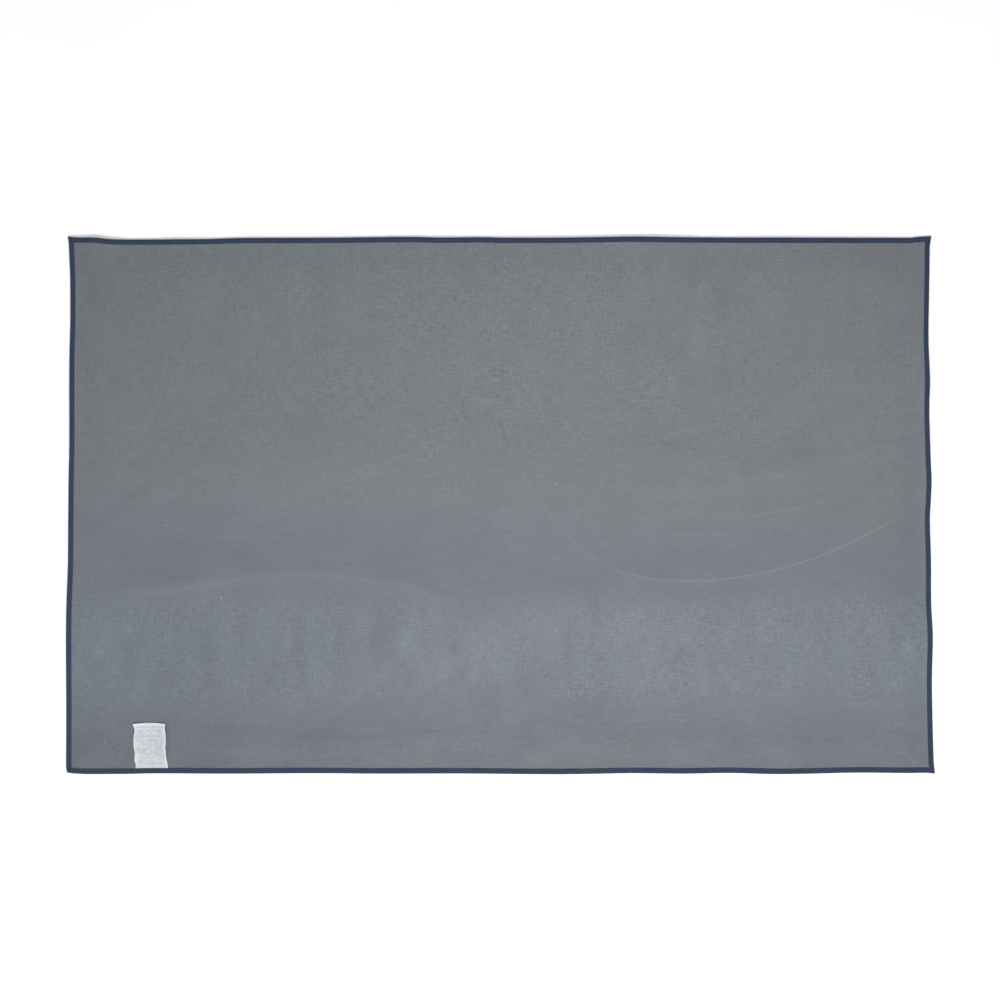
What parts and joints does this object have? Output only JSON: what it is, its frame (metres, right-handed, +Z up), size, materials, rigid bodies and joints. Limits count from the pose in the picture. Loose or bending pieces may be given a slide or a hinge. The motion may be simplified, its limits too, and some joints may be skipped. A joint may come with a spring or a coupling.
{
  "type": "camp blanket",
  "caption": "Rectangular padded ground and camp blanket with a coated grey backing, a soft face, bound edges and a care label; folds in half.",
  "frame": {"origin": "under the centre of the blanket as it lies flat, on the ground", "axes": "+X along the length, to the end that swings over when it is folded; +Y across the width, away from the edge with the care label; +Z up, out of the coated backing"},
  "size_m": [1.3, 0.8, 0.0062],
  "materials": {
    "backing_cloth": "tight plain-weave polyester with a matt-to-satin grey coating, fine cross ribs and soft creases",
    "wadding": "thin off-white needled polyester wadding",
    "face_cloth": "short brushed navy fleece pile",
    "binding_tape": "navy ribbed polyester binding tape, lightly shiny",
    "sewing_thread": "twisted navy polyester thread",
    "label_satin": null
  },
  "bodies": {
    "left_half": {"backing_cloth_left": "backing_cloth", "wadding_left": "wadding", "face_cloth_left": "face_cloth", "binding_near_left": "binding_tape", "binding_far_left": "binding_tape", "binding_left_end": "binding_tape", "needle_thread_left": "sewing_thread", "bobbin_thread_left": "sewing_thread", "care_label_root": "label_satin"},
    "right_half": {"backing_cloth_right": "backing_cloth", "wadding_right": "wadding", "face_cloth_right": "face_cloth", "binding_near_right": "binding_tape", "binding_far_right": "binding_tape", "binding_right_end": "binding_tape", "needle_thread_right": "sewing_thread", "bobbin_thread_right": "sewing_thread"},
    "care_label": {"care_label_flap": "label_satin"}
  },
  "joints": [
    {"name": "fold_in_half", "type": "hinge", "parent": "left_half", "child": "right_half", "pos_m": [0, 0, 0.0102], "axis": [0, -1, 0], "range_deg": [0, 179.9]},
    {"name": "label_flap", "type": "hinge", "parent": "left_half", "child": "care_label", "pos_m": [-0.524, -0.392, 0.0057], "axis": [1, 0, 0], "range_deg": [0, 179.9]}
  ]
}
